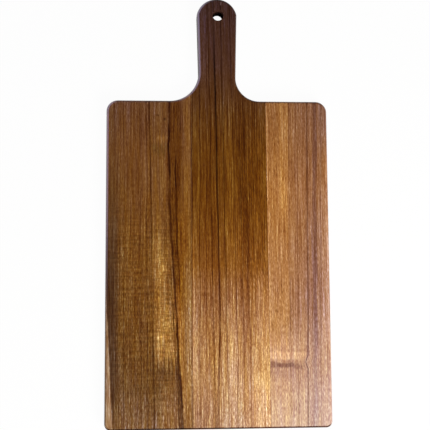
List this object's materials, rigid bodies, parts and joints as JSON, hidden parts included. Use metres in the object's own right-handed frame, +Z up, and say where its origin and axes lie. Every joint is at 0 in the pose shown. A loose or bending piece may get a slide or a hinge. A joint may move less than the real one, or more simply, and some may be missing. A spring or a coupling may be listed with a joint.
{
  "type": "paddle serving board",
  "caption": "Flat hardwood paddle board of edge-glued staves for serving charcuterie, with a handle in one piece with the centre stave, rounded-over edges and a hanging hole.",
  "frame": {"origin": "middle of the underside, under the centre of the board's box", "axes": "+X across the staves to the right, +Y along the staves towards the handle's tip, +Z up out of the serving face"},
  "size_m": [0.23, 0.446, 0.018],
  "materials": {
    "left_stave_wood": "oiled, satin",
    "centre_stave_wood": "oiled, satin",
    "right_stave_wood": "oiled, satin",
    "glue": "cured glue, matt"
  },
  "bodies": {
    "root": {"left_stave": "left_stave_wood", "centre_stave": "centre_stave_wood", "right_stave": "right_stave_wood", "left_glue_line": "glue", "right_glue_line": "glue"}
  },
  "joints": []
}
